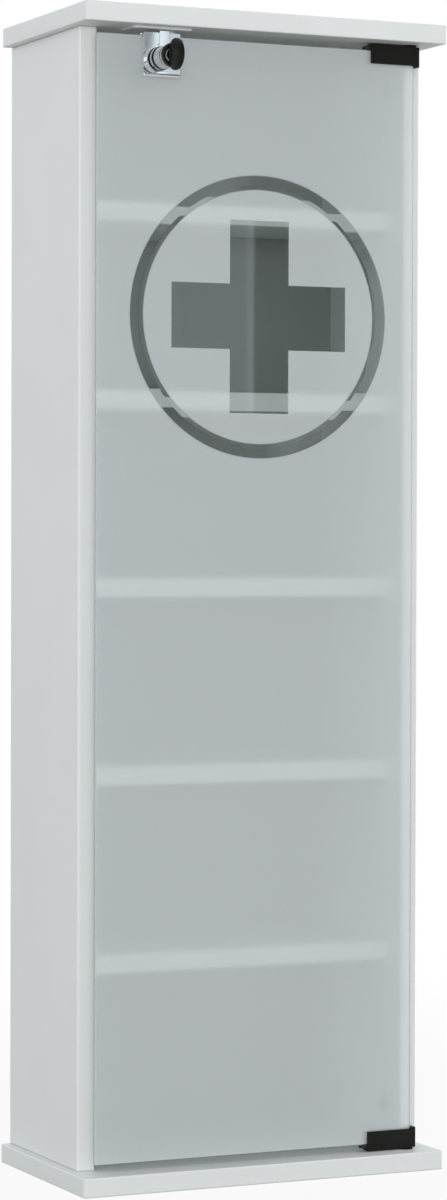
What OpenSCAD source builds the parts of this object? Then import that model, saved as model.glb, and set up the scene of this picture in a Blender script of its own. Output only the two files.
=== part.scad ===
// Lockable medicine cabinet: a tall, narrow cabinet of white coated boards with
// five shelves behind one frosted glass door. The door turns on two pivot hinges
// at its right edge and is held by a clamp-on cylinder lock at its upper left corner.
// X runs to the right seen from the front, Y towards the back and Z up.
// The origin is the centre of the base board's underside.

/* [Cabinet] */
// Width across the top and base boards
cabinet_w = 330; // [300:1:400]
// Depth of the top and base boards
cabinet_d = 185; // [175:1:240]
// Height over all
cabinet_h = 970; // [800:1:1200]
// Thickness of boards, side panels and shelves
board_t = 16; // [16:1:19]
// How far the boards stand past the side panels at each side
side_overhang = 8; // [6:1:12]
// How far the boards stand in front of the side panels
front_overhang = 34; // [33:0.5:40]
// Rounding of the boards' and shelves' long edges
edge_r = 1.2; // [0.4:0.1:2]
// Rounding of the boards' upright corners
corner_r = 2; // [0.5:0.1:4]
// Rounding of the side panels' upright edges
panel_r = 2; // [0.5:0.1:2]
// Rounding of the side panels' ends, where they meet the boards
end_r = 1.2; // [0.4:0.1:2]
// Thickness of the back panel
back_t = 3; // [3:1:5]
// Distance from the rear face to the back panel
back_inset = 11; // [9:1:16]

/* [Shelves] */
// Distance of the shelves behind the side panels' front edges
shelf_setback = 25; // [10:1:35]
// Distance of the shelf pins from the shelf's front and rear edges
pin_inset = 17; // [12:1:30]

/* [Glass door] */
// Thickness of the glass
glass_t = 4; // [4:0.5:5]
// Distance from the boards' front edge back to the glass
glass_inset = 20.5; // [19:0.5:21.5]
// Gap between the glass and the boards above and below it
glass_gap = 6; // [6:0.5:7]
// Distance from the boards' left end to the glass
glass_left = 19; // [17:1:21]
// Distance from the boards' right end to the glass
glass_right = 20.5; // [20:0.5:21.5]
// Distance of the emblem's centre below the top edge of the glass
emblem_drop = 228; // [150:1:300]
// Outer radius of the cut ring
ring_r = 117; // [80:1:120]
// Width of the cut ring
ring_w = 11; // [6:1:14]
// Depth of the cut ring
ring_depth = 1.1; // [0.6:0.1:1.5]
// Length of the cross from end to end
cross_l = 160; // [90:1:160]
// Width of the cross's arms
cross_w = 54; // [24:1:60]

/* [Hinges] */
// Length of a hinge clamp's leaves
leaf_l = 41; // [36:1:50]
// Height of a hinge clamp
clamp_h = 16.5; // [15:0.5:20]
// Diameter of the pivot pins
pivot_d = 5; // [4:0.5:5]
// Distance of the door's turning axis from the glass's right edge
pivot_inset = 3.5; // [3.5:0.5:4.5]

/* [Lock] */
// Distance of the lock's axis from the glass's left edge
lock_in = 51; // [45:1:70]
// Distance of the lock's axis below the glass's top edge
lock_drop = 20.3; // [20:0.1:25]
// Width of the lock's front plate
lock_plate_w = 33; // [32:1:36]
// Length of the lock's barrel behind its black collar
barrel_l = 31.4; // [28:0.2:36]
// Diameter of the lock's barrel at its base
barrel_d = 20; // [19:0.5:22]
// Diameter of the turning plug
plug_d = 10.9; // [10.5:0.1:11.5]
// Radius at which the plug's crank pin lifts the bolt
crank_r = 3.8; // [3.4:0.1:3.8]
// Width of the bolt's tongue
bolt_w = 9; // [8:0.5:9]
// Diameter of the key's round head
key_head_d = 26; // [22:0.5:30]

/* [Hidden] */
$fn = 48;

white_board = [0.93, 0.94, 0.93];
satin_glass = [0.80, 0.86, 0.88, 0.6];
black_metal = [0.10, 0.10, 0.09];
black_rubber = [0.16, 0.16, 0.16];
chrome = [0.82, 0.83, 0.85];
steel = [0.66, 0.67, 0.68];
zinc = [0.55, 0.56, 0.58];
brass = [0.78, 0.66, 0.36];

// Carcass planes
board_x = cabinet_w / 2;
front_y = -cabinet_d / 2;
rear_y = cabinet_d / 2;
panel_out = board_x - side_overhang;
panel_in = panel_out - board_t;
panel_front = front_y + front_overhang;
inner_low = board_t;
inner_top = cabinet_h - board_t;

// Back panel in its grooves
groove_depth = 6;
groove_slack = 0.2;
back_rear = rear_y - back_inset;
back_front = back_rear - back_t;
back_edge = groove_depth - 0.5;

// Shelves, their undersides at equal pitch over the side panels, each resting on four pins
shelf_n = 5;
shelf_pitch = (inner_top - inner_low) / (shelf_n + 1);
shelf_rise = 1.5;
shelf_front = panel_front + shelf_setback;
shelf_rear = back_front - 0.5;
shelf_side_gap = 0.5;
pin_d = 5;
pin_head_d = 6.5;
pin_in = 8.5;
pin_out = 7.5;
pin_ys = [shelf_front + pin_inset, shelf_rear - pin_inset];
function shelf_z(i) = inner_low + i * shelf_pitch + shelf_rise;

// Cam fittings and dowels between the side panels and the two boards
cam_d = 15;
cam_depth = 12.5;
cam_from_end = 34;
cam_axis_x = panel_in + 8;
cam_ys = [panel_front + 30, back_front - 26];
cam_bolt_d = 6;
cam_bolt_in = 11;
dowel_d = 8;
dowel_in_board = 11;
dowel_in_panel = 20;
dowel_ys = [panel_front + 11, panel_front + 66];
fit = 0.05;

// Hanger plates let into the rear upper corners
hanger_t = 2;
hanger_leg = 50;
hanger_band = 12;
hanger_out_x = panel_out - 2;
hanger_top = cabinet_h - 3;
hanger_hole_d = 10;
hanger_hole_x = panel_in - 10;
hanger_hole_z = inner_top - 7;
screw_d = 3.2;
screw_l = 16;
screw_head_d = 6.4;
hanger_screw_at = [
    [panel_out - 8, cabinet_h - 7.5],
    [panel_out - 8, cabinet_h - 48],
    [panel_out - 44, cabinet_h - 7.5]
];

// Glass door
glass_x0 = -board_x + glass_left;
glass_x1 = board_x - glass_right;
glass_y0 = front_y + glass_inset;
glass_y1 = glass_y0 + glass_t;
glass_z0 = inner_low + glass_gap;
glass_z1 = inner_top - glass_gap;
glass_arris = 0.6;
emblem_z = glass_z1 - emblem_drop;
ring_floor_r = ring_r - ring_w * 0.72;
cross_depth = 0.3;

// Hinge clamps, drawn at the lower corner and mirrored for the upper one
pivot_x = glass_x1 - pivot_inset;
pivot_y = glass_y0 + glass_t / 2;
clamp_gap = 0.8;
clamp_z0 = inner_low + clamp_gap;
clamp_z1 = clamp_z0 + clamp_h;
clamp_x1 = glass_x1 + 4.5;
clamp_cap = 5;
leaf_x1 = clamp_x1 - clamp_cap;
leaf_x0 = leaf_x1 - leaf_l;
front_pad = 0.7;
rear_pad = 1;
front_leaf = 1.6;
rear_leaf = 2.5;
clamp_y0 = glass_y0 - front_pad - front_leaf;
clamp_y1 = glass_y1 + rear_pad + rear_leaf;
web_t = 2.4;
insert_tab = 5;
grub_d = 4;
grub_xs = [leaf_x0 + 11, leaf_x0 + 31];
grub_z = clamp_z0 + 10.5;
pin_flange_d = 8;
pin_flange_t = 1.4;
pin_reach = 8;
bush_d = 9;
bush_flange_d = 13;
bush_flange_t = clamp_gap - 0.1;
bush_in = 10.5;

// Lock
lock_x = glass_x0 + lock_in;
lock_z = glass_z1 - lock_drop;
plate_x0 = lock_x - 11.5;
plate_x1 = plate_x0 + lock_plate_w;
plate_y1 = glass_y0 - 0.4;
plate_y0 = plate_y1 - 1.6;
plate_z0 = lock_z - 14;
bridge_z0 = glass_z1 + 0.6;
bridge_z1 = bridge_z0 + 1.6;
lock_rear_y0 = glass_y1 + rear_pad;
lock_rear_y1 = lock_rear_y0 + rear_leaf;
lock_rear_z0 = glass_z1 - 19;
lock_grub_xs = [plate_x0 + 9, plate_x1 - 9];
lock_grub_z = glass_z1 - 9.5;

// Bolt: a flat tongue in front of the plate, lifted by the crank pin
bolt_t = 2;
bolt_y1 = plate_y0 - 0.1;
bolt_y0 = bolt_y1 - bolt_t;
bolt_x0 = lock_x + 2;
bolt_x1 = bolt_x0 + bolt_w;
bolt_foot_x0 = lock_x - 1.5;
bolt_foot_z1 = lock_z + 6.5;
bolt_z0 = lock_z - 9;
strike_t = 1.5;
strike_z0 = inner_top - strike_t;
bolt_z1 = strike_z0 - 1;
crank_pin_d = 2.6;
crank_slot_w = crank_pin_d + 0.3;
crank_rest = -45;
crank_x = lock_x + crank_r * cos(crank_rest);
crank_z = lock_z + crank_r * sin(crank_rest);
crank_slot_x = [lock_x + 0.9 + crank_slot_w / 2, lock_x + crank_r + 1.8 - crank_slot_w / 2];
bolt_travel = 2 * crank_r * sin(45);
rib_w = 1.1;
rib_z0 = lock_z + 12.5;

// Barrel, collar, plug and key, all on the lock's axis
barrel_y1 = plate_y0;
shell_y0 = barrel_y1 - barrel_l;
collar_l = 2;
collar_d = 20;
nose_d = 12.4;
barrel_y0 = shell_y0 - collar_l;
channel_y0 = bolt_y0 - 0.15;
plug_y0 = barrel_y0 + 0.2;
plug_y1 = channel_y0 - 0.1;
plug_rim_d = plug_d + 1.6;
plug_rim_t = 1.6;
keyway_w = 2.3;
keyway_h = 7.4;
keyway_l = 24;
wafer_n = 4;
wafer_t = 0.9;
wafer_w = 7.4;
wafer_pitch = 4.4;
wafer_y0 = plug_y0 + 4;
blade_w = 2;
blade_h = 7;
blade_tip_y = plug_y0 + 23;
blade_root_y = barrel_y0 - 7;
key_gap = 0.25;
key_y1 = barrel_y0 - key_gap;
key_head_y = barrel_y0 - 6.1;
key_head_t = 9;
key_rim_t = 4.4;

// Strike plate under the top board
strike_x0 = bolt_x0 - 24;
strike_x1 = bolt_x1 + 19.6;
strike_y0 = front_y + 13;
strike_y1 = strike_y0 + 29;
strike_hole_y = strike_y0 + 18;
strike_hole_xs = [strike_x0 + 6.5, strike_x1 - 6.5];
strike_screw_l = 12;
stop_x0 = bolt_x1 + 0.5;
stop_x1 = stop_x0 + 9;
stop_y0 = lock_rear_y1 + 0.4;
stop_drop = 6;

// A rectangle with rounded corners, between two corner points
module rounded_rect(a0, b0, a1, b1, r) {
    translate([a0 + r, b0]) square([a1 - a0 - 2 * r, b1 - b0]);
    translate([a0, b0 + r]) square([a1 - a0, b1 - b0 - 2 * r]);
    for (a = [a0 + r, a1 - r], b = [b0 + r, b1 - r])
        translate([a, b]) circle(r = r);
}

// A rectangle with its corners cut off at 45 degrees
module cut_rect(a0, b0, a1, b1, c) {
    polygon([
        [a0 + c, b0], [a1 - c, b0], [a1, b0 + c], [a1, b1 - c],
        [a1 - c, b1], [a0 + c, b1], [a0, b1 - c], [a0, b0 + c]
    ]);
}

// A drawn outline in the Y-Z plane, extruded along X
module along_x(x0, x1) {
    translate([x0, 0, 0]) rotate([90, 0, 90]) linear_extrude(x1 - x0) children();
}

// A drawn outline in the X-Z plane, extruded along Y
module along_y(y0, y1) {
    translate([0, y1, 0]) rotate([90, 0, 0]) linear_extrude(y1 - y0) children();
}

module block(x0, y0, z0, x1, y1, z1) {
    translate([x0, y0, z0]) cube([x1 - x0, y1 - y0, z1 - z0]);
}

module rod_x(x0, x1, y, z, d) {
    translate([x0, y, z]) rotate([0, 90, 0]) cylinder(h = x1 - x0, d = d);
}

module rod_y(x, z, y0, y1, d) {
    translate([x, y1, z]) rotate([90, 0, 0]) cylinder(h = y1 - y0, d = d);
}

module rod_z(x, y, z0, z1, d) {
    translate([x, y, z0]) cylinder(h = z1 - z0, d = d);
}

// A part drawn for the lower end or the right side, turned over to the other one
module to_top() {
    translate([0, 0, cabinet_h]) mirror([0, 0, 1]) children();
}

module to_left() {
    mirror([1, 0, 0]) children();
}

module both_sides() {
    children();
    to_left() children();
}

// Countersunk screw along +Z, head uppermost with its face at z = 0
module countersunk_screw(l, d, head_d) {
    head_l = (head_d - d) / 2;
    difference() {
        union() {
            translate([0, 0, -head_l]) cylinder(h = head_l, d1 = d, d2 = head_d);
            translate([0, 0, -l + d]) cylinder(h = l - d - head_l + 0.01, d = d);
            translate([0, 0, -l]) cylinder(h = d, d1 = 0.6, d2 = d);
        }
        for (a = [0, 90])
            rotate([0, 0, a]) translate([-head_d * 0.28, -0.4, -0.9]) cube([head_d * 0.56, 0.8, 1]);
    }
}

// The hole that a countersunk screw fills
module countersunk_hole(l, d, head_d) {
    head_l = (head_d - d) / 2;
    translate([0, 0, -l - 0.5]) cylinder(h = l + 0.6, d = d + 2 * fit);
    translate([0, 0, -head_l - fit]) cylinder(h = head_l + 0.1, d1 = d, d2 = head_d + 0.3);
}

// Holes in the inner face of the base board, also used for the top board
module board_holes() {
    both_sides() {
        for (y = cam_ys)
            rod_z(cam_axis_x, y, board_t - cam_bolt_in - 0.5, board_t + 1, cam_bolt_d + 2 * fit);
        for (y = dowel_ys)
            rod_z(cam_axis_x, y, board_t - dowel_in_board - 0.5, board_t + 1, dowel_d + 2 * fit);
    }
    block(-panel_in - groove_depth, back_front - groove_slack, board_t - groove_depth,
        panel_in + groove_depth, back_rear + groove_slack, board_t + 1);
    rod_z(pivot_x, pivot_y, board_t - bush_in - 0.5, board_t + 1, bush_d + 2 * fit);
}

// A board at the foot of the cabinet with all its long edges rounded
module end_board() {
    difference() {
        intersection() {
            along_x(-board_x, board_x) rounded_rect(front_y, 0, rear_y, board_t, edge_r);
            along_y(front_y, rear_y) rounded_rect(-board_x, 0, board_x, board_t, edge_r);
            linear_extrude(board_t) rounded_rect(-board_x, front_y, board_x, rear_y, corner_r);
        }
        board_holes();
    }
}

module base_board() {
    color(white_board) end_board();
}

module top_board() {
    color(white_board) difference() {
        to_top() end_board();
        // Pocket above the strike plate for the raised bolt
        block(bolt_x0 - 1, bolt_y0 - 1, inner_top - 1, bolt_x1 + 1, bolt_y1 + 1,
            bolt_z1 + bolt_travel + 2);
        for (x = strike_hole_xs)
            rod_z(x, strike_hole_y, inner_top - 1, strike_z0 + strike_screw_l + 0.5,
                screw_d + 2 * fit);
        both_sides() hanger_recess();
    }
}

// Right side panel with all its edges rounded
module side_panel() {
    difference() {
        intersection() {
            translate([0, 0, inner_low]) linear_extrude(inner_top - inner_low)
                rounded_rect(panel_in, panel_front, panel_out, rear_y, panel_r);
            along_x(panel_in, panel_out)
                rounded_rect(panel_front, inner_low, rear_y, inner_top, end_r);
            along_y(panel_front, rear_y)
                rounded_rect(panel_in, inner_low, panel_out, inner_top, end_r);
        }
        block(panel_in - 1, back_front - groove_slack, inner_low - 1,
            panel_in + groove_depth, back_rear + groove_slack, inner_top + 1);
        panel_end_holes();
        to_top() panel_end_holes();
        for (i = [1:shelf_n], y = pin_ys)
            rod_x(panel_in - 1, panel_in + pin_in + 0.5, y, shelf_z(i) - pin_head_d / 2,
                pin_d + 2 * fit);
        hanger_recess();
    }
}

// Cam pocket, bolt bore and dowel hole in the lower end of the right side panel
module panel_end_holes() {
    for (y = cam_ys) {
        rod_x(panel_in - 1, panel_in + cam_depth, y, inner_low + cam_from_end, cam_d + 2 * fit);
        rod_z(cam_axis_x, y, inner_low - 1, inner_low + cam_from_end, dowel_d);
    }
    for (y = dowel_ys)
        rod_z(cam_axis_x, y, inner_low - 1, inner_low + dowel_in_panel + 0.5, dowel_d + 2 * fit);
}

module left_side_panel() {
    color(white_board) to_left() side_panel();
}

module right_side_panel() {
    color(white_board) side_panel();
}

module back_panel() {
    color(white_board) block(-panel_in - back_edge, back_front, inner_low - back_edge,
        panel_in + back_edge, back_rear, inner_top + back_edge);
}

module shelf(i) {
    color(white_board) along_x(-panel_in + shelf_side_gap, panel_in - shelf_side_gap)
        rounded_rect(shelf_front, shelf_z(i), shelf_rear, shelf_z(i) + board_t, edge_r);
}

module shelf_pins() {
    color(steel) both_sides() for (i = [1:shelf_n], y = pin_ys) {
        z = shelf_z(i) - pin_head_d / 2;
        rod_x(panel_in, panel_in + pin_in, y, z, pin_d);
        rod_x(panel_in - pin_out, panel_in, y, z, pin_head_d);
    }
}

module panel_dowels() {
    color([0.85, 0.72, 0.52]) both_sides() for (y = dowel_ys) {
        dowel(y);
        to_top() dowel(y);
    }
}

// Wooden dowel with tapered ends
module dowel(y) {
    z0 = board_t - dowel_in_board;
    z1 = inner_low + dowel_in_panel;
    rod_z(cam_axis_x, y, z0 + 1, z1 - 1, dowel_d);
    translate([cam_axis_x, y, z1 - 1]) cylinder(h = 1, d1 = dowel_d, d2 = dowel_d - 2);
    translate([cam_axis_x, y, z0]) cylinder(h = 1, d1 = dowel_d - 2, d2 = dowel_d);
}

module cam_bolts() {
    color(zinc) both_sides() for (y = cam_ys) {
        cam_bolt(y);
        to_top() cam_bolt(y);
    }
}

// Bolt screwed into the board, with a neck and a round head inside the cam
module cam_bolt(y) {
    head_z = inner_low + cam_from_end;
    rod_z(cam_axis_x, y, board_t - cam_bolt_in, board_t, cam_bolt_d);
    rod_z(cam_axis_x, y, board_t, board_t + 2.5, 7.6);
    rod_z(cam_axis_x, y, board_t + 2.5, head_z - 6, 6);
    rod_z(cam_axis_x, y, head_z - 6, head_z - 2.5, 4);
    rod_z(cam_axis_x, y, head_z - 2.5, head_z + 1, 6.6);
}

module cam_discs() {
    color(zinc) both_sides() for (y = cam_ys) {
        cam_disc(y);
        to_top() cam_disc(y);
    }
}

// Cam: a disc with a hollow for the bolt's head, a mouth for its neck and a cross slot
module cam_disc(y) {
    z = inner_low + cam_from_end;
    difference() {
        rod_x(panel_in, panel_in + cam_depth - 0.2, y, z, cam_d);
        rod_x(panel_in + 3.5, panel_in + cam_depth + 1, y, z, 9.5);
        block(cam_axis_x - 3.5, y - 3.5, z - cam_d, cam_axis_x + cam_d, y + 3.5, z);
        block(panel_in - 1, y - 4, z - 0.6, panel_in + 2, y + 4, z + 0.6);
        block(panel_in - 1, y - 0.6, z - 4, panel_in + 2, y + 0.6, z + 4);
    }
}

// Outline of the right hanger plate: a corner plate with a slanting inner edge
module hanger_outline(slack) {
    polygon([
        [hanger_out_x + slack, hanger_top + slack],
        [hanger_out_x - hanger_leg - slack, hanger_top + slack],
        [hanger_out_x - hanger_leg - slack, hanger_top - hanger_band - slack],
        [hanger_out_x - hanger_band - slack, hanger_top - hanger_leg - slack],
        [hanger_out_x + slack, hanger_top - hanger_leg - slack]
    ]);
}

module hanger_recess() {
    along_y(rear_y - hanger_t, rear_y + 1) hanger_outline(0.2);
    for (p = hanger_screw_at)
        translate([p[0], rear_y, p[1]]) rotate([-90, 0, 0])
            countersunk_hole(screw_l, screw_d, screw_head_d);
}

module hanger_plate() {
    difference() {
        along_y(rear_y - hanger_t, rear_y) hanger_outline(0);
        rod_y(hanger_hole_x, hanger_hole_z, rear_y - hanger_t - 1, rear_y + 1, hanger_hole_d);
        for (p = hanger_screw_at)
            translate([p[0], rear_y, p[1]]) rotate([-90, 0, 0])
                countersunk_hole(screw_l, screw_d, screw_head_d);
    }
}

module left_hanger_plate() {
    color(steel) to_left() hanger_plate();
}

module right_hanger_plate() {
    color(steel) hanger_plate();
}

module hanger_screws() {
    color(steel) both_sides() for (p = hanger_screw_at)
        translate([p[0], rear_y, p[1]]) rotate([-90, 0, 0])
            countersunk_screw(screw_l, screw_d, screw_head_d);
}

// Flanged bush pressed into the base board
module pivot_bush() {
    difference() {
        union() {
            rod_z(pivot_x, pivot_y, board_t - bush_in, board_t, bush_d);
            rod_z(pivot_x, pivot_y, board_t, board_t + bush_flange_t, bush_flange_d);
        }
        rod_z(pivot_x, pivot_y, board_t - bush_in + 1.5, board_t + 2, pivot_d + 0.1);
    }
}

module lower_pivot_bush() {
    color(black_rubber) pivot_bush();
}

module upper_pivot_bush() {
    color(black_rubber) to_top() pivot_bush();
}

// Glass pane with narrow cut edges, a cut ring and a polished cross in its front
module door_glass() {
    color(satin_glass) difference() {
        intersection() {
            along_y(glass_y0, glass_y1)
                rounded_rect(glass_x0, glass_z0, glass_x1, glass_z1, 1.5);
            along_x(glass_x0, glass_x1)
                cut_rect(glass_y0, glass_z0, glass_y1, glass_z1, glass_arris);
            translate([0, 0, glass_z0]) linear_extrude(glass_z1 - glass_z0)
                cut_rect(glass_x0, glass_y0, glass_x1, glass_y1, glass_arris);
        }
        ring_cut();
        block(-cross_l / 2, glass_y0 - 1, emblem_z - cross_w / 2,
            cross_l / 2, glass_y0 + cross_depth, emblem_z + cross_w / 2);
        block(-cross_w / 2, glass_y0 - 1, emblem_z - cross_l / 2,
            cross_w / 2, glass_y0 + cross_depth, emblem_z + cross_l / 2);
    }
}

// Ring cut as a groove of two slanting faces, the outer one narrower
module ring_cut() {
    translate([0, glass_y0, emblem_z]) rotate([-90, 0, 0]) rotate_extrude($fn = 96)
        polygon([
            [ring_r - ring_w, 0], [ring_floor_r, ring_depth], [ring_r, 0],
            [ring_r, -1], [ring_r - ring_w, -1]
        ]);
}

// A leaf of a hinge clamp with rounded corners and broken edges
module hinge_leaf(y0, y1) {
    intersection() {
        along_y(y0, y1) rounded_rect(leaf_x0, clamp_z0, leaf_x1, clamp_z1, 0.8);
        along_x(leaf_x0, leaf_x1) cut_rect(y0, clamp_z0, y1, clamp_z1, 0.4);
    }
}

// Lower hinge clamp: front leaf, web under the glass, rear leaf and a cap round the corner
module hinge_clamp() {
    cap_z1 = clamp_z1 + 1.3;
    difference() {
        union() {
            hinge_leaf(clamp_y0, clamp_y0 + front_leaf);
            hinge_leaf(clamp_y1 - rear_leaf, clamp_y1);
            block(leaf_x0 + 0.5, clamp_y0 + 0.5, clamp_z0, leaf_x1, clamp_y1 - 0.5,
                clamp_z0 + web_t);
            difference() {
                along_y(clamp_y0 + 0.8, clamp_y1 - 0.8)
                    rounded_rect(leaf_x1 - 0.2, clamp_z0 + 0.6, clamp_x1, cap_z1, 0.5);
                block(leaf_x1 - 1, glass_y0 - 0.2, glass_z0 - 0.2,
                    glass_x1 + 0.2, glass_y1 + 0.2, cap_z1 + 1);
                block(leaf_x1 - 1, glass_y0 - front_pad, clamp_z0 + web_t,
                    leaf_x1, glass_y1 + rear_pad, cap_z1 + 1);
            }
        }
        rod_z(pivot_x, pivot_y, clamp_z0 - 1, clamp_z0 + web_t + 1, pivot_d + 2 * fit);
        rod_z(pivot_x, pivot_y, clamp_z0 + web_t, clamp_z0 + web_t + pin_flange_t + 0.1,
            pin_flange_d + 0.2);
        for (x = grub_xs)
            rod_y(x, grub_z, clamp_y1 - rear_leaf - 1, clamp_y1 + 1, grub_d + 2 * fit);
    }
}

module lower_hinge_clamp() {
    color(black_metal) hinge_clamp();
}

module upper_hinge_clamp() {
    color(black_metal) to_top() hinge_clamp();
}

// Soft insert round the edge of the glass, with a tab standing out of the clamp
module hinge_insert() {
    floor_z = clamp_z0 + web_t;
    difference() {
        union() {
            block(leaf_x0 + 1, glass_y0 - front_pad, floor_z, leaf_x1, glass_y0, clamp_z1 - 1);
            block(leaf_x0 + 1, glass_y1, floor_z, leaf_x1, glass_y1 + rear_pad, clamp_z1 - 1);
            block(leaf_x0 - insert_tab, glass_y0 - front_pad, floor_z,
                leaf_x1, glass_y1 + rear_pad, glass_z0);
        }
        rod_z(pivot_x, pivot_y, floor_z - 1, floor_z + pin_flange_t + 0.1, pin_flange_d + 0.2);
    }
}

module lower_hinge_insert() {
    color(black_rubber) hinge_insert();
}

module upper_hinge_insert() {
    color(black_rubber) to_top() hinge_insert();
}

// Pivot pin with a flange inside the clamp
module pivot_pin() {
    rod_z(pivot_x, pivot_y, board_t - pin_reach + 0.6, clamp_z0 + web_t, pivot_d);
    translate([pivot_x, pivot_y, board_t - pin_reach])
        cylinder(h = 0.6, d1 = pivot_d - 1.2, d2 = pivot_d);
    rod_z(pivot_x, pivot_y, clamp_z0 + web_t, clamp_z0 + web_t + pin_flange_t, pin_flange_d);
}

module lower_pivot_pin() {
    color(steel) pivot_pin();
}

module upper_pivot_pin() {
    color(steel) to_top() pivot_pin();
}

// Headless screw with a hexagon socket, pressing forwards on the insert
module grub_screw(x, z, y0, y1) {
    difference() {
        rod_y(x, z, y0, y1, grub_d);
        translate([x, y1 + 1, z]) rotate([90, 0, 0]) cylinder(h = 2.4, d = 2.3, $fn = 6);
    }
}

module hinge_grub_screws() {
    color(steel) for (x = grub_xs) {
        grub_screw(x, grub_z, glass_y1 + rear_pad, clamp_y1 + 0.5);
        to_top() grub_screw(x, grub_z, glass_y1 + rear_pad, clamp_y1 + 0.5);
    }
}

// Lock clamp: front plate with bolt guides and a lip, bridge over the glass, rear leaf
module lock_clamp() {
    color(chrome) difference() {
        union() {
            along_y(plate_y0, plate_y1)
                rounded_rect(plate_x0, plate_z0, plate_x1, bridge_z1, 1);
            rod_x(plate_x0 + 0.6, plate_x1 - 0.6, plate_y0 - 0.3, plate_z0 + 1.5, 3);
            block(plate_x0 + 1, plate_y1 - 0.5, bridge_z0, plate_x1 - 1, lock_rear_y1 - 0.5, bridge_z1);
            along_y(lock_rear_y0, lock_rear_y1)
                rounded_rect(plate_x0, lock_rear_z0, plate_x1, bridge_z1, 1);
            for (x = [bolt_x0 - 0.1 - rib_w, bolt_x1 + 0.1])
                block(x, bolt_y0, rib_z0, x + rib_w, plate_y0 + 0.2, bridge_z1 - 1);
        }
        for (x = lock_grub_xs)
            rod_y(x, lock_grub_z, lock_rear_y0 - 1, lock_rear_y1 + 1, grub_d + 2 * fit);
        for (z = [lock_z - 4.5, lock_z + 4.5])
            rod_y(lock_x - 6, z, plate_y0 - 1, plate_y1 + 1, 2.4 + 2 * fit);
    }
}

// Soft lining between the lock clamp and the glass
module lock_insert() {
    x0 = plate_x0 + 1;
    x1 = plate_x1 - 1;
    color(black_rubber) {
        block(x0, plate_y1, plate_z0 + 1, x1, glass_y0, bridge_z0);
        block(x0, glass_y0, glass_z1, x1, glass_y1, bridge_z0);
        block(x0, glass_y1, lock_rear_z0 + 1, x1, lock_rear_y0, bridge_z0);
    }
}

module lock_grub_screws() {
    color(steel) for (x = lock_grub_xs)
        grub_screw(x, lock_grub_z, lock_rear_y0, lock_rear_y1);
}

// The lock's round parts are drawn along +Z and laid down so that they point to the front
module on_lock_axis() {
    translate([lock_x, barrel_y1, lock_z]) rotate([90, 0, 0]) children();
}

// Barrel: a turned shell with grooves, channelled at the back for the bolt and riveted on
module lock_barrel() {
    r = barrel_d / 2;
    color(chrome) difference() {
        union() {
            on_lock_axis() rotate_extrude() polygon([
                [0, 0], [r, 0], [r, 5.2], [r - 0.6, 5.8], [r - 1.6, 5.8], [r - 1.6, 7.6],
                [r - 0.8, 8.2], [r - 0.2, 9], [r - 0.2, 12], [r - 0.8, 12.8], [r - 1.4, 13],
                [r - 1.4, 13.8], [r - 0.7, 14.4], [r - 0.7, 26.4], [r - 1.3, 27], [r - 1.3, 27.8],
                [r - 0.4, 28.4], [r - 0.4, barrel_l - 0.6], [r - 0.9, barrel_l],
                [nose_d / 2, barrel_l], [nose_d / 2, barrel_l + collar_l - 0.6],
                [nose_d / 2 - 0.4, barrel_l + collar_l - 0.2], [0, barrel_l + collar_l - 0.2]
            ]);
            for (z = [lock_z - 4.5, lock_z + 4.5])
                rod_y(lock_x - 6, z, barrel_y1 - 1, plate_y1, 2.4);
        }
        rod_y(lock_x, lock_z, barrel_y0 - 1, barrel_y1 + 1, plug_d + 2 * fit);
        rod_y(lock_x, lock_z, plug_y1 - plug_rim_t - fit, barrel_y1 + 1, plug_rim_d + 2 * fit);
        block(bolt_foot_x0 - 0.2, channel_y0, lock_z - barrel_d, lock_x + barrel_d,
            barrel_y1 + 0.01, lock_z + barrel_d);
    }
}

// Black ring round the barrel's nose
module lock_collar() {
    r = collar_d / 2;
    color(black_rubber) on_lock_axis() rotate_extrude() polygon([
        [nose_d / 2, barrel_l], [r - 0.3, barrel_l], [r, barrel_l + 0.4],
        [r, barrel_l + collar_l - 0.7], [r - 0.5, barrel_l + collar_l - 0.1],
        [r - 1, barrel_l + collar_l], [nose_d / 2 + 0.5, barrel_l + collar_l],
        [nose_d / 2, barrel_l + collar_l - 0.5]
    ]);
}

module lock_plug() {
    color(steel) difference() {
        union() {
            rod_y(lock_x, lock_z, plug_y0, plug_y1, plug_d);
            rod_y(lock_x, lock_z, plug_y1 - plug_rim_t, plug_y1, plug_rim_d);
            rod_y(crank_x, crank_z, plug_y1 - 1, bolt_y1, crank_pin_d);
        }
        block(lock_x - keyway_w / 2, plug_y0 - 1, lock_z - keyway_h / 2,
            lock_x + keyway_w / 2, plug_y0 + keyway_l, lock_z + keyway_h / 2);
        for (i = [0:wafer_n - 1]) {
            y = wafer_y0 + i * wafer_pitch;
            block(lock_x - wafer_w / 2 - 0.1, y - 0.1, lock_z - plug_d,
                lock_x + wafer_w / 2 + 0.1, y + wafer_t + 0.1, lock_z + plug_d);
        }
    }
}

// Thin wafers across the plug, each with a window that the key passes
module lock_wafers() {
    color(brass) for (i = [0:wafer_n - 1]) {
        y = wafer_y0 + i * wafer_pitch;
        difference() {
            intersection() {
                block(lock_x - wafer_w / 2, y, lock_z - plug_d,
                    lock_x + wafer_w / 2, y + wafer_t, lock_z + plug_d);
                rod_y(lock_x, lock_z, y - 1, y + wafer_t + 1, plug_d - 0.3);
            }
            block(lock_x - keyway_w / 2, y - 1, lock_z - keyway_h / 2,
                lock_x + keyway_w / 2, y + wafer_t + 1, lock_z + keyway_h / 2);
        }
    }
}

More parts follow.
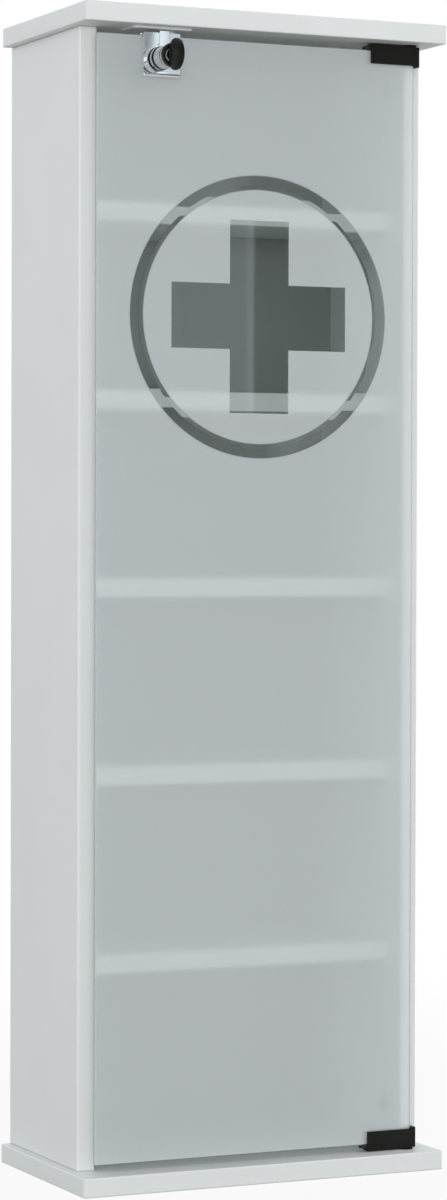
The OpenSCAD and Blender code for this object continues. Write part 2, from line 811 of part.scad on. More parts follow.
module lock_bolt() {
    color(steel) difference() {
        union() {
            along_y(bolt_y0, bolt_y1) rounded_rect(bolt_x0, bolt_z0, bolt_x1, bolt_z1, 0.8);
            along_y(bolt_y0, bolt_y1) rounded_rect(bolt_foot_x0, bolt_z0, bolt_x1, bolt_foot_z1, 0.8);
        }
        for (x = crank_slot_x)
            rod_y(x, crank_z, bolt_y0 - 1, bolt_y1 + 1, crank_slot_w);
        block(crank_slot_x[0], bolt_y0 - 1, crank_z - crank_slot_w / 2,
            crank_slot_x[1], bolt_y1 + 1, crank_z + crank_slot_w / 2);
    }
}

// Flat blade with cuts along its lower edge, its root held in the head
module key_blade() {
    tip = 1.6;
    color(steel) difference() {
        along_x(lock_x - blade_w / 2, lock_x + blade_w / 2) polygon([
            [blade_root_y, lock_z - blade_h / 2], [blade_tip_y - tip, lock_z - blade_h / 2],
            [blade_tip_y, lock_z - blade_h / 2 + tip], [blade_tip_y, lock_z + blade_h / 2 - tip],
            [blade_tip_y - tip, lock_z + blade_h / 2], [blade_root_y, lock_z + blade_h / 2]
        ]);
        for (i = [0:wafer_n - 1]) {
            cut = [1.2, 2.2, 0.8, 1.7][i];
            y = wafer_y0 + wafer_t / 2 + i * wafer_pitch;
            along_x(lock_x - blade_w, lock_x + blade_w) polygon([
                [y - 0.5, lock_z - blade_h / 2 + cut], [y + 0.5, lock_z - blade_h / 2 + cut],
                [y + 0.6 + cut, lock_z - blade_h / 2 - 0.01],
                [y - 0.6 - cut, lock_z - blade_h / 2 - 0.01]
            ]);
        }
    }
}

// Round key head: a domed disc standing upright, cut flat where it meets the lock
module key_head() {
    r = key_head_d / 2;
    rim = key_rim_t / 2;
    dome = key_head_t / 2 - rim;
    color(black_metal) difference() {
        intersection() {
            translate([lock_x, key_head_y, lock_z]) rotate([0, 90, 0]) rotate_extrude($fn = 64)
                polygon([
                    [0, -rim - dome], [r * 0.25, -rim - dome * 0.94], [r * 0.5, -rim - dome * 0.74],
                    [r * 0.72, -rim - dome * 0.42], [r - 1, -rim], [r - 0.3, -rim + 0.5],
                    [r, -rim + 1.3], [r, rim - 1.3], [r - 0.3, rim - 0.5], [r - 1, rim],
                    [r * 0.72, rim + dome * 0.42], [r * 0.5, rim + dome * 0.74],
                    [r * 0.25, rim + dome * 0.94], [0, rim + dome]
                ]);
            block(lock_x - r, key_head_y - 2 * r, lock_z - 2 * r, lock_x + r, key_y1, lock_z + 2 * r);
        }
        block(lock_x - blade_w / 2 - fit, blade_root_y - fit, lock_z - blade_h / 2 - fit,
            lock_x + blade_w / 2 + fit, key_y1 + 1, lock_z + blade_h / 2 + fit);
    }
}

// Strike plate with a slot for the bolt and a tab bent down that stops the closing door
module strike_plate() {
    color(steel) difference() {
        union() {
            translate([0, 0, strike_z0]) linear_extrude(strike_t)
                rounded_rect(strike_x0, strike_y0, strike_x1, strike_y1, 4);
            block(stop_x0, stop_y0, strike_z0 - stop_drop, stop_x1, stop_y0 + strike_t, strike_z0 + 0.5);
        }
        block(bolt_x0 - 0.5, bolt_y0 - 0.6, strike_z0 - 1,
            bolt_x1 + 0.5, bolt_y1 + 0.5, strike_z0 + 3);
        block(stop_x0, stop_y0 + strike_t, strike_z0 - 1,
            stop_x1, stop_y0 + strike_t + stop_drop, strike_z0 + 3);
        for (x = strike_hole_xs)
            translate([x, strike_hole_y, strike_z0]) rotate([180, 0, 0])
                countersunk_hole(strike_screw_l, screw_d, screw_head_d);
    }
}

module strike_screws() {
    color(steel) for (x = strike_hole_xs)
        translate([x, strike_hole_y, strike_z0]) rotate([180, 0, 0])
            countersunk_screw(strike_screw_l, screw_d, screw_head_d - 0.4);
}

top_board();
base_board();
left_side_panel();
right_side_panel();
back_panel();
shelf(1);  // shelf_1
shelf(2);  // shelf_2
shelf(3);  // shelf_3
shelf(4);  // shelf_4
shelf(5);  // shelf_5
shelf_pins();
panel_dowels();
cam_bolts();
cam_discs();
left_hanger_plate();
right_hanger_plate();
hanger_screws();
upper_pivot_bush();
lower_pivot_bush();
strike_plate();
strike_screws();
door_glass();
upper_hinge_clamp();
lower_hinge_clamp();
upper_hinge_insert();
lower_hinge_insert();
upper_pivot_pin();
lower_pivot_pin();
hinge_grub_screws();
lock_clamp();
lock_insert();
lock_grub_screws();
lock_barrel();
lock_collar();
lock_plug();
lock_wafers();
lock_bolt();
key_blade();
key_head();
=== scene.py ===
import math

import bmesh
import bpy
from mathutils import Matrix, Vector


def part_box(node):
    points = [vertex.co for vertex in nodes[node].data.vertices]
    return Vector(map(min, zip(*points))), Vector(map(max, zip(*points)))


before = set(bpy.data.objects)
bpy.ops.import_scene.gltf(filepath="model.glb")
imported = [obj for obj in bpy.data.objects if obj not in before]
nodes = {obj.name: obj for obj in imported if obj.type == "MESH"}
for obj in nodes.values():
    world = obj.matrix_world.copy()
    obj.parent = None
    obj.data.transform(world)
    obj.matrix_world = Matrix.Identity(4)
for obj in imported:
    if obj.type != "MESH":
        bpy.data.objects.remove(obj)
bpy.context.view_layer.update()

MM = 0.001


def corners(name):
    """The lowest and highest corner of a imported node, in millimetres."""
    low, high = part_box(name)
    return low / MM, high / MM


BOARD_LOW, BOARD_HIGH = corners("base_board")
PANEL_FRONT = corners("right_side_panel")[0].y
SHELF_FRONT = corners("shelf_1")[0].y
GLASS_LOW, GLASS_HIGH = corners("door_glass")
COLLAR_LOW, COLLAR_HIGH = corners("lock_collar")

# The clear ring and cross in the satin glass, in millimetres
EMBLEM_Z = 720.0
RING_OUTER = 117.0
RING_INNER = 106.0
CROSS_LENGTH = 160.0
CROSS_WIDTH = 54.0

# The lock's barrel, from the front of its clamp to the black collar, in millimetres.
# A band of painted shade over a groove is (place of its middle in front of the clamp, half width).
LOCK_X = (COLLAR_LOW.x + COLLAR_HIGH.x) / 2
LOCK_Z = (COLLAR_LOW.z + COLLAR_HIGH.z) / 2
BARREL_LENGTH = 31.4
BARREL_RADIUS = 10.0
GROOVE_SHADE_BANDS = [(6.9, 2.0), (13.9, 1.8), (27.4, 0.8)]
CLAMP_FRONT = COLLAR_HIGH.y + BARREL_LENGTH


# ---------------------------------------------------------------- materials

class Value:
    """A number that changes over a surface; arithmetic on it adds Math nodes."""

    def __init__(self, finish, socket):
        self.finish = finish
        self.socket = socket

    def maths(self, operation, *others):
        return self.finish.add("Math", {"operation": operation}, self, *others)

    def reflected(self, operation, other):
        return self.finish.add("Math", {"operation": operation}, other, self)

    def __add__(self, other):
        return self.maths("ADD", other)

    def __radd__(self, other):
        return self.reflected("ADD", other)

    def __sub__(self, other):
        return self.maths("SUBTRACT", other)

    def __rsub__(self, other):
        return self.reflected("SUBTRACT", other)

    def __mul__(self, other):
        return self.maths("MULTIPLY", other)

    def __rmul__(self, other):
        return self.reflected("MULTIPLY", other)

    def __pow__(self, other):
        return self.maths("POWER", other)

    def __abs__(self):
        return self.maths("ABSOLUTE")

    def rising(self, start, end):
        """0 below start, 1 above end, smooth between them."""
        return self.finish.add(
            "MapRange", {"interpolation_type": "SMOOTHSTEP"}, Value=self,
            From_Min=start, From_Max=end, To_Min=0.0, To_Max=1.0)

    def falling(self, start, end):
        """1 below start, 0 above end, smooth between them."""
        return 1.0 - self.rising(start, end)

    def up_to(self, limit, soft):
        """1 up to limit, 0 from soft beyond it."""
        return self.falling(limit, limit + soft)

    def beyond(self, limit, soft):
        """0 up to limit, 1 from soft beyond it."""
        return self.rising(limit, limit + soft)

    def near(self, middle, half_width, soft=0.15):
        """1 within half_width of middle, 0 from soft beyond that."""
        return abs(self - middle).up_to(half_width, soft)


def greatest(first, *others):
    """The greatest of several values at each point."""
    for other in others:
        first = first.maths("MAXIMUM", other)
    return first


class Finish:
    """One node material, or the studio's world. Coordinates are the part's own, in millimetres."""

    def __init__(self, name, library=None):
        shelf = bpy.data.materials if library is None else library
        self.owner = shelf.new(name)
        self.owner.use_nodes = True
        self.tree = self.owner.node_tree
        self.tree.nodes.clear()
        if library is None:
            here = self.add("TexCoord", {}, output="Object")
            self.place = self.add("VectorMath", {"operation": "SCALE"}, here, Scale=1.0 / MM)

    def feed(self, socket, value):
        if isinstance(value, Value):
            self.tree.links.new(value.socket, socket)
        elif hasattr(socket.default_value, "__len__"):
            room = len(socket.default_value)
            socket.default_value = (tuple(value) + (1.0,))[:room]
        else:
            socket.default_value = value

    def add(self, kind, settings, *ordered, output=None, **named):
        """Adds a node: its settings first, then its sockets in order or by name."""
        made = self.tree.nodes.new("ShaderNode" + kind)
        for key, setting in settings.items():
            setattr(made, key, setting)
        open_sockets = [s for s in made.inputs if s.enabled]
        for socket, value in zip(open_sockets, ordered):
            self.feed(socket, value)
        for name, value in named.items():
            wanted = name.replace("_", " ")
            self.feed(next(s for s in open_sockets if s.name == wanted), value)
        outputs = [s for s in made.outputs if s.enabled]
        chosen = next((s for s in outputs if s.name == output), outputs[0]) if outputs else None
        return Value(self, chosen)

    def axes(self, where=None):
        """The three coordinates of where, or else of the part."""
        split = self.add("SeparateXYZ", {}, where or self.place)
        return tuple(Value(self, s) for s in split.socket.node.outputs)

    def rays(self, *kinds):
        """One value for each kind of ray: 1 for rays of that kind, 0 for all others."""
        outputs = self.add("LightPath", {}).socket.node.outputs
        return tuple(Value(self, outputs[kind]) for kind in kinds)

    def stretched(self, x, y, z):
        """The coordinates multiplied by x, y and z."""
        return self.add("VectorMath", {"operation": "MULTIPLY"}, self.place, (x, y, z))

    def noise(self, scale, detail=2.0, roughness=0.5, where=None):
        where = where or self.place
        return self.add(
            "TexNoise", {"noise_dimensions": "3D"}, Vector=where,
            Scale=scale, Detail=detail, Roughness=roughness)

    def mixed(self, factor, first, second):
        """The first colour where factor is 0, the second where it is 1."""
        settings = {"data_type": "RGBA", "blend_type": "MIX", "clamp_factor": True}
        return self.add("Mix", settings, factor, first, second)

    def blend(self, factor, first, second):
        """The first shader where factor is 0, the second where it is 1."""
        return self.add("MixShader", {}, factor, first, second)

    def rounded_edges(self, radius):
        """A normal that rounds sharp edges by radius, in millimetres."""
        return self.add("Bevel", {"samples": 6}, Radius=radius * MM)

    def worn_edges(self, rounded):
        """1 at the edges that rounded_edges turns, 0 on the flats."""
        flat = self.add("NewGeometry", {}, output="Normal")
        agree = self.add("VectorMath", {"operation": "DOT_PRODUCT"}, rounded, flat, output="Value")
        return agree.falling(0.86, 0.995)

    def bumped(self, height, distance, normal=None):
        """Height, from 0 to 1, as a relief that is distance millimetres deep."""
        named = {"Height": height, "Distance": distance * MM, "Strength": 1.0}
        if normal:
            named["Normal"] = normal
        return self.add("Bump", {}, **named)

    def surface(self, **named):
        return self.add("BsdfPrincipled", {}, **named)

    def done(self, shader, output="OutputMaterial"):
        self.add(output, {}, shader)
        return self.owner


def toned(colour, share):
    """The colour made darker or, by a share above 1, brighter."""
    return tuple(min(1.0, channel * share) for channel in colour)


# The coated boards: their colours, and the thickness of an edge band and half the width of the
# glue line behind it, in millimetres
WHITE_COATING = (0.745, 0.766, 0.757)
# Painted shade: the back panel is a white board, and this grey paints onto it the shade inside the
# shut cabinet.
SHADE_GREY_COATING = (0.265, 0.285, 0.275)
EDGE_BAND = 0.9
GLUE_LINE = 0.09


def board_coating(name, colour, bands=()):
    """Coated board: fine pearl relief, faint cloudiness, glue lines beside the edge bands.
    bands lists (axis, place): the planes, 0 for x, 1 for y, 2 for z, where a band ends."""
    finish = Finish(name)
    axes = finish.axes()
    pearl = finish.noise(2.6, 3.0, 0.6)
    cloud = finish.noise(0.012, 2.0)
    dust = finish.noise(0.9, 4.0, 0.7).rising(0.62, 0.8)
    glue = toned(colour, 0.80)
    tone = finish.mixed(cloud.rising(0.35, 0.65), toned(colour, 0.98), colour)
    tone = finish.mixed(dust * 0.03, tone, glue)
    height = pearl
    for axis, place in bands:
        joint = axes[axis].near(place, GLUE_LINE, 0.12)
        tone = finish.mixed(joint * 0.55, tone, glue)
        height = height - joint * 0.6
    relief = finish.bumped(height, 0.02, finish.rounded_edges(0.5))
    return finish.done(finish.surface(
        Base_Color=tone, Roughness=0.40 + (pearl - 0.5) * 0.16 + cloud * 0.05,
        Normal=relief, IOR=1.5, Specular_IOR_Level=0.45))


# The pane, in millimetres: the rim of its front that stays polished, where the etching has
# reached its full strength, how deep it lies, its soft border and half a painted shade line's width
POLISHED_RIM = 0.5
FULL_ETCH = 0.8
ETCH_DEPTH = 0.5
ETCH_BORDER = 0.1
EDGE_SHADE_HALF_WIDTH = 0.3

CLEAR_TINT = (0.95, 0.985, 0.98)
SATIN_TINT = (0.99, 1.0, 1.0)
CLEAR_FILTER = (0.68, 0.70, 0.695)
SATIN_FILTER = (0.69, 0.717, 0.717)


def clear_emblem(x, up, radius):
    """1 on the clear ring and the clear cross."""
    half_ring = (RING_OUTER - RING_INNER) / 2
    half_length = CROSS_LENGTH / 2
    half_width = CROSS_WIDTH / 2
    ring = radius.near(RING_INNER + half_ring, half_ring, ETCH_BORDER)
    upright = abs(x).up_to(half_width, ETCH_BORDER) * abs(up).up_to(half_length, ETCH_BORDER)
    bar = abs(up).up_to(half_width, ETCH_BORDER) * abs(x).up_to(half_length, ETCH_BORDER)
    return greatest(ring, upright, bar)


def frosted_glass(name):
    """Pane with a satin front and left edge. The ring, the cross, the back and the other edges
    are polished, and a thin dark line of painted shade runs along both sides of the ring."""
    finish = Finish(name)
    x, y, z = finish.axes()
    up = z - EMBLEM_Z
    radius = (x * x + up * up) ** 0.5
    right_rim = x.rising(GLASS_HIGH.x - FULL_ETCH, GLASS_HIGH.x - POLISHED_RIM)
    lower_rim = z.falling(GLASS_LOW.z + POLISHED_RIM, GLASS_LOW.z + FULL_ETCH)
    upper_rim = z.rising(GLASS_HIGH.z - FULL_ETCH, GLASS_HIGH.z - POLISHED_RIM)
    clear = greatest(clear_emblem(x, up, radius), right_rim, lower_rim, upper_rim)
    front = y.up_to(GLASS_LOW.y + ETCH_DEPTH, ETCH_BORDER)
    left_edge = x.up_to(GLASS_LOW.x + ETCH_BORDER, ETCH_BORDER)
    frost = (1.0 - clear) * greatest(front, left_edge)
    outer_edge_shade = radius.near(RING_OUTER + EDGE_SHADE_HALF_WIDTH, EDGE_SHADE_HALF_WIDTH)
    inner_edge_shade = radius.near(RING_INNER - EDGE_SHADE_HALF_WIDTH, EDGE_SHADE_HALF_WIDTH)
    grain = finish.noise(9.0, 3.0, 0.7)

    through = finish.surface(
        Base_Color=finish.mixed(1.0 - clear, CLEAR_TINT, SATIN_TINT),
        Roughness=frost * 0.27 + 0.012, Transmission_Weight=1.0, IOR=1.5)
    haze = finish.mixed(grain, (0.84, 0.895, 0.92), (0.89, 0.94, 0.96))
    # Painted shade: a thin dark line on the satin haze along both edges of the ring.
    haze = finish.mixed(greatest(outer_edge_shade, inner_edge_shade) * 0.85, haze, (0.20, 0.25, 0.26))
    etched = finish.surface(
        Base_Color=haze, Roughness=0.5, Normal=finish.bumped(grain, 0.004), IOR=1.5)
    glowing = finish.add("BsdfTranslucent", {}, Color=(0.86, 0.91, 0.93))
    skin = finish.blend(0.16, etched, glowing)
    body = finish.blend(frost * 0.54, through, skin)

    # Light on its way to the inside meets the pane as a tinted filter that doesn't bend it.
    # Bent by the pane as well, it would light the inside twice.
    clear_filter = finish.add("BsdfTransparent", {}, Color=CLEAR_FILTER)
    satin_filter = finish.add("BsdfTransparent", {}, Color=SATIN_FILTER)
    light_ray = greatest(*finish.rays("Is Shadow Ray", "Is Diffuse Ray"))
    tinted_filter = finish.blend(frost, clear_filter, satin_filter)
    return finish.done(finish.blend(light_ray, body, tinted_filter))


def polished_chrome(name):
    """Polished chrome, with painted shade and painted dark reflections, nearly black, in the grooves
    turned round the lock's barrel.
    """
    finish = Finish(name)
    x, y, z = finish.axes()
    across = x - LOCK_X
    up = z - LOCK_Z
    away = (across * across + up * up) ** 0.5
    forward = CLAMP_FRONT - y
    groove_shade = greatest(*[forward.near(middle, half, 0.2) for middle, half in GROOVE_SHADE_BANDS])
    barrel = away.falling(BARREL_RADIUS - 0.1, BARREL_RADIUS + 0.1)
    rounded = finish.rounded_edges(0.25)
    wear = finish.worn_edges(rounded)
    smear = finish.noise(0.25, 3.0)
    hairline = finish.noise(6.0, 2.0, 0.6, finish.stretched(1.0, 1.0, 0.06))
    tone = finish.mixed(wear, (0.70, 0.735, 0.755), (0.87, 0.89, 0.905))
    # Painted shade and painted dark reflection: bands over the barrel's grooves turned nearly black.
    tone = finish.mixed(groove_shade * barrel * 0.95, tone, (0.02, 0.02, 0.02))
    relief = finish.bumped(hairline, 0.0001, rounded)
    return finish.done(finish.surface(
        Base_Color=tone, Metallic=1.0, Roughness=0.006 + smear * 0.02 + hairline * 0.01,
        Normal=relief))


def nickel_steel(name, colour=(0.66, 0.65, 0.62), brushed=(1.0, 0.05, 1.0), metal=1.0):
    """Plated steel, drawn in the direction that brushed makes long, brighter at worn edges."""
    finish = Finish(name)
    rounded = finish.rounded_edges(0.2)
    wear = finish.worn_edges(rounded)
    streaks = finish.noise(5.0, 3.0, 0.65, finish.stretched(*brushed))
    smear = finish.noise(0.3, 2.0)
    tone = finish.mixed(streaks * 0.4 + wear * 0.6, colour, toned(colour, 1.2))
    relief = finish.bumped(streaks, 0.004, rounded)
    return finish.done(finish.surface(
        Base_Color=tone, Metallic=metal, Roughness=0.20 + streaks * 0.12 + smear * 0.08,
        Normal=relief))


def cast_zinc(name):
    """Grainy, dull cast metal."""
    finish = Finish(name)
    rounded = finish.rounded_edges(0.3)
    grain = finish.noise(3.0, 4.0, 0.7)
    tone = finish.mixed(grain.rising(0.3, 0.7), (0.46, 0.46, 0.47), (0.60, 0.60, 0.61))
    relief = finish.bumped(grain, 0.03, rounded)
    return finish.done(finish.surface(
        Base_Color=tone, Metallic=1.0, Roughness=0.42 + grain * 0.15, Normal=relief))


def black_coat(name):
    """Satin black coating on the hinge clamps, thin at the edges."""
    finish = Finish(name)
    rounded = finish.rounded_edges(0.35)
    wear = finish.worn_edges(rounded)
    pebble = finish.noise(3.2, 2.0, 0.5)
    patch = finish.noise(0.6, 3.0)
    rubbed = wear * patch.rising(0.45, 0.65)
    tone = finish.mixed(patch, (0.006, 0.006, 0.0045), (0.010, 0.010, 0.0075))
    tone = finish.mixed(rubbed * 0.5, tone, (0.07, 0.07, 0.065))
    relief = finish.bumped(pebble, 0.02, rounded)
    return finish.done(finish.surface(
        Base_Color=tone, Roughness=0.38 + pebble * 0.14, Normal=relief, IOR=1.5,
        Specular_IOR_Level=0.22))


def moulded_black(name, roughness=0.34, gloss=0.35):
    """Black plastic with a faint spark, smoother or duller where it is handled."""
    finish = Finish(name)
    rounded = finish.rounded_edges(0.3)
    spark = finish.noise(4.0, 3.0, 0.6)
    handled = finish.noise(0.2, 2.0)
    tone = finish.mixed(handled, (0.006, 0.006, 0.005), (0.010, 0.009, 0.008))
    relief = finish.bumped(spark, 0.008, rounded)
    return finish.done(finish.surface(
        Base_Color=tone, Roughness=roughness + spark * 0.08 + handled * 0.06,
        Normal=relief, IOR=1.5, Specular_IOR_Level=gloss))


def soft_rubber(name, colour):
    """Dull lining with dust in its grain."""
    finish = Finish(name)
    grain = finish.noise(6.0, 3.0, 0.7)
    dusty = finish.noise(0.5, 3.0)
    pale = tuple(c * 1.5 + 0.01 for c in colour)
    tone = finish.mixed(dusty.rising(0.4, 0.7) * 0.5, colour, pale)
    relief = finish.bumped(grain, 0.02)
    return finish.done(finish.surface(
        Base_Color=tone, Roughness=0.68 + grain * 0.15, Normal=relief, IOR=1.5))


def plain_beech(name):
    """Turned beech: long fibres and short darker flecks."""
    finish = Finish(name)
    fibres = finish.noise(1.6, 4.0, 0.6, finish.stretched(1.0, 1.0, 0.05))
    flecks = finish.noise(2.5, 2.0, 0.5, finish.stretched(1.0, 1.0, 0.25)).rising(0.6, 0.7)
    tone = finish.mixed(fibres, (0.62, 0.44, 0.26), (0.74, 0.57, 0.37))
    tone = finish.mixed(flecks * 0.4, tone, (0.42, 0.27, 0.15))
    relief = finish.bumped(fibres, 0.08)
    return finish.done(finish.surface(
        Base_Color=tone, Roughness=0.62 + fibres * 0.15, Normal=relief))


def stamped_brass(name):
    """Rolled and stamped brass, dulled in patches."""
    finish = Finish(name)
    streaks = finish.noise(4.0, 3.0, 0.6, finish.stretched(0.1, 1.0, 1.0))
    dull = finish.noise(0.8, 3.0)
    tone = finish.mixed(dull.rising(0.4, 0.7), (0.78, 0.60, 0.28), (0.60, 0.44, 0.20))
    relief = finish.bumped(streaks, 0.005)
    return finish.done(finish.surface(
        Base_Color=tone, Metallic=1.0, Roughness=0.24 + streaks * 0.14, Normal=relief))


def dress(material, *names):
    for name in names:
        slots = nodes[name].material_slots
        if not slots:
            nodes[name].data.materials.append(material)
        for slot in slots:
            slot.material = material


board_bands = [
    (0, BOARD_LOW.x + EDGE_BAND), (0, BOARD_HIGH.x - EDGE_BAND), (1, BOARD_LOW.y + EDGE_BAND)]
board_finish = board_coating("board coating", WHITE_COATING, board_bands)
panel_finish = board_coating("side panel coating", WHITE_COATING, [(1, PANEL_FRONT + EDGE_BAND)])
shelf_finish = board_coating("shelf coating", WHITE_COATING, [(1, SHELF_FRONT + EDGE_BAND)])
dress(board_finish, "top_board", "base_board")
dress(panel_finish, "left_side_panel", "right_side_panel")
dress(shelf_finish, "shelf_1", "shelf_2", "shelf_3", "shelf_4", "shelf_5")
# The back panel's grey is painted shade over a white board.
dress(board_coating("back panel shade grey coating", SHADE_GREY_COATING), "back_panel")
dress(frosted_glass("satin glass"), "door_glass")
dress(polished_chrome("polished chrome"), "lock_clamp", "lock_barrel", "lock_bolt")
dress(nickel_steel("satin strike steel", (0.80, 0.81, 0.82), (0.05, 1.0, 1.0), 0.35), "strike_plate")
dress(nickel_steel("nickel steel"),
      "shelf_pins", "left_hanger_plate", "right_hanger_plate", "hanger_screws",
      "strike_screws", "upper_pivot_pin", "lower_pivot_pin", "key_blade", "lock_grub_screws")
dress(nickel_steel("blackened steel", (0.05, 0.05, 0.05)), "hinge_grub_screws", "lock_plug")
dress(cast_zinc("cast zinc"), "cam_bolts", "cam_discs")
dress(black_coat("black hinge coating"), "upper_hinge_clamp", "lower_hinge_clamp")
dress(soft_rubber("black lining", (0.020, 0.020, 0.020)), "upper_hinge_insert", "lower_hinge_insert")
dress(soft_rubber("grey lining", (0.30, 0.31, 0.31)), "lock_insert")
dress(moulded_black("black key plastic", 0.24, 0.14), "key_head")
dress(moulded_black("black collar plastic", 0.12, 0.7), "lock_collar")
dress(moulded_black("black bush plastic", 0.45), "upper_pivot_bush", "lower_pivot_bush")
dress(plain_beech("beech"), "panel_dowels")
dress(stamped_brass("stamped brass"), "lock_wafers")


# ------------------------------------------------------------------- studio

WHITE = (1.0, 1.0, 1.0)
FILL_COLOUR = (0.95, 0.98, 1.0)
FILL_LEVEL = 0.70

# The room that metal and glass mirror, in front of the cabinet. A bearing is the sine of the
# angle from the strip light, less than 0 towards -x; a height is the sine of the angle up.
# SPOT_ACROSS and SPOT_UP are one over half the dim spot's width and height.
ROOM_COLOUR = (0.90, 0.96, 1.0)
DARK_LEVEL = 0.06
STRIP_ACROSS = 0.9036
STRIP_DEPTH = 0.4283
STRIP_HALF_WIDTH = 0.0009
STRIP_LEVEL = 1.1
WALL_LEVEL = 0.7
WINDOW_LEFT = -0.13
WINDOW_RIGHT = -0.019
WINDOW_LEVEL = 1.15
SPOT_BEARING = -0.0304
SPOT_HEIGHT = 0.14
SPOT_ACROSS = 280.0
SPOT_UP = 110.0
SPOT_LEFT = -0.0312
SPOT_SHADE = 0.75
DIM_PANE_LEFT = -0.0238
DIM_PANE_SHADE = 0.35
SIDE_LIGHT_BEARING = -0.75
SIDE_LIGHT_LEVEL = 1.6

# The floor, in metres, and the share of plain white that it shows
FLOOR_RADIUS = 14.0
NEAR_SHARE = 0.92
MIRRORED_SHARE = 0.5

# The photograph's camera, in metres, radians and pixels, and its sensor in millimetres
CAMERA_PLACE = (-1.2676, -2.7289, 0.5395)
CAMERA_YAW = 0.43526
CAMERA_PITCH = -0.018649
CAMERA_ROLL = 0.002718
FOCAL_PIXELS = 3533.19
PHOTO_HEIGHT_PIXELS = 1200
SENSOR_LONG_SIDE = 36


def seen_rays(finish):
    """The camera's own rays, and those rays with the ones that mirror or pass a surface."""
    camera, glossy, passing = finish.rays("Is Camera Ray", "Is Glossy Ray", "Is Transmission Ray")
    return camera, greatest(camera, glossy, passing)


def mirrored_room(across, depth, height):
    """How bright a mirror sees the studio: white behind the cabinet and overhead and, in front
    of it, dark with a strip light, a pale wall with a window in it, and a side light."""
    bearing = across * STRIP_ACROSS + depth * STRIP_DEPTH
    strip = abs(bearing).up_to(STRIP_HALF_WIDTH, 0.0002) * STRIP_LEVEL
    in_window = bearing.beyond(WINDOW_LEFT, 0.02) * bearing.up_to(WINDOW_RIGHT, 0.001)
    wall = bearing.up_to(0.0, 0.001) * WALL_LEVEL * (1.0 - in_window)
    spot_across = (bearing - SPOT_BEARING) * SPOT_ACROSS
    spot_up = (height - SPOT_HEIGHT) * SPOT_UP
    spot = spot_across ** 2.0 + spot_up ** 2.0
    spot_shade = spot.up_to(0.7, 0.3) * bearing.beyond(SPOT_LEFT, 0.0004) * SPOT_SHADE
    dim_pane = bearing.beyond(DIM_PANE_LEFT, 0.0004) * DIM_PANE_SHADE
    window = in_window * WINDOW_LEVEL * (1.0 - greatest(spot_shade, dim_pane))
    side_light = bearing.near(SIDE_LIGHT_BEARING, 0.05, 0.03) * SIDE_LIGHT_LEVEL
    in_front = depth.falling(-0.6, -0.5) * height.rising(-0.06, 0.02)
    panels = greatest(strip, wall, window, side_light) * in_front
    behind = depth.rising(-0.1, 0.5)
    overhead = height.rising(0.75, 0.9)
    return greatest(behind, overhead, panels) + DARK_LEVEL


def studio_world():
    """White for the camera, the room for mirrors, an even fill light for everything else."""
    world = Finish("studio", bpy.data.worlds)
    level = mirrored_room(*world.axes(world.add("TexCoord", {}, output="Generated")))
    camera, seen = seen_rays(world)
    fill = world.add("Background", {}, Color=FILL_COLOUR, Strength=FILL_LEVEL)
    mirrored = world.add("Background", {}, Color=ROOM_COLOUR, Strength=level)
    white = world.add("Background", {}, Color=WHITE, Strength=1.0)
    sight = world.blend(camera, mirrored, white)
    bpy.context.scene.world = world.done(world.blend(seen, fill, sight), "OutputWorld")


def floor_paint(name):
    """Grey under the lamps, so that it keeps the cabinet's shadow, with white over it for the
    camera and for mirrors; for the camera it is all white away from the cabinet."""
    finish = Finish(name)
    x, y, z = finish.axes()
    away = (x * x + y * y) ** 0.5
    lit = finish.surface(Base_Color=(0.46, 0.45, 0.44), Roughness=0.9, Specular_IOR_Level=0.1)
    glow = finish.add("Emission", {}, Color=WHITE, Strength=1.0)
    camera, seen = seen_rays(finish)
    camera_share = camera * (NEAR_SHARE + (1.0 - NEAR_SHARE) * away.rising(450.0, 1500.0))
    return finish.done(finish.blend(greatest(camera_share, seen * MIRRORED_SHARE), lit, glow))


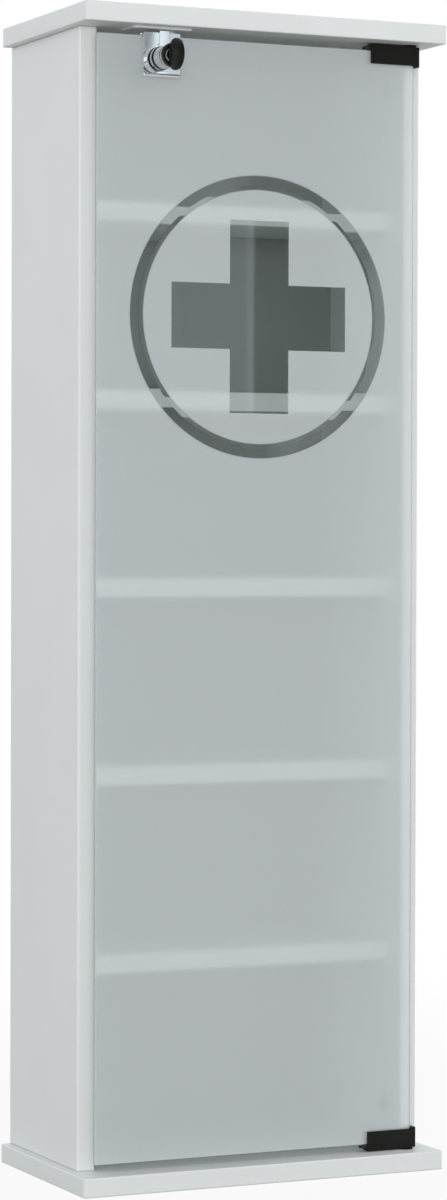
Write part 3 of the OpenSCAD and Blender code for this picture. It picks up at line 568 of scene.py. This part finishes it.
def studio_floor():
    shape = bmesh.new()
    bmesh.ops.create_circle(shape, cap_ends=True, segments=96, radius=FLOOR_RADIUS)
    mesh = bpy.data.meshes.new("studio_floor")
    shape.to_mesh(mesh)
    shape.free()
    floor = bpy.data.objects.new("studio_floor", mesh)
    bpy.context.scene.collection.objects.link(floor)
    mesh.materials.append(floor_paint("studio floor"))


def soft_lamp(name, place, aim, width, height, watts):
    lamp = bpy.data.lights.new(name, "AREA")
    lamp.shape = "RECTANGLE"
    lamp.size = width
    lamp.size_y = height
    lamp.energy = watts
    holder = bpy.data.objects.new(name, lamp)
    holder.visible_glossy = False
    bpy.context.scene.collection.objects.link(holder)
    holder.location = place
    holder.rotation_euler = (Vector(aim) - Vector(place)).to_track_quat("-Z", "Y").to_euler()


def photo_camera():
    level_reach = math.cos(CAMERA_PITCH)
    ahead = Vector((
        math.sin(CAMERA_YAW) * level_reach,
        math.cos(CAMERA_YAW) * level_reach,
        math.sin(CAMERA_PITCH)))
    level = Vector((math.cos(CAMERA_YAW), -math.sin(CAMERA_YAW), 0.0))
    upright = level.cross(ahead)
    right = level * math.cos(CAMERA_ROLL) + upright * math.sin(CAMERA_ROLL)
    up = right.cross(ahead)
    lens = bpy.data.cameras.new("photo_camera")
    lens.lens = FOCAL_PIXELS / PHOTO_HEIGHT_PIXELS * SENSOR_LONG_SIDE
    lens.sensor_width = SENSOR_LONG_SIDE
    lens.clip_end = 60
    camera = bpy.data.objects.new("photo_camera", lens)
    bpy.context.scene.collection.objects.link(camera)
    turn = Matrix((right, up, -ahead)).transposed()
    camera.matrix_world = Matrix.Translation(CAMERA_PLACE) @ turn.to_4x4()
    bpy.context.scene.camera = camera


studio_world()
studio_floor()
soft_lamp("key_lamp", (-1.5, -5.5, 0.9), (0, 0, 0.4), 3.0, 1.4, 116)
soft_lamp("left_lamp", (-3.0, -0.5, 1.2), (0, 0, 0.5), 2.0, 2.4, 17)
soft_lamp("right_lamp", (3.0, -0.6, 1.4), (0, 0, 0.5), 2.0, 2.4, 28)
soft_lamp("rear_lamp", (1.2, 3.0, 2.0), (0, 0, 0.5), 2.4, 2.0, 16)
photo_camera()
bpy.context.scene.view_settings.view_transform = "Standard"
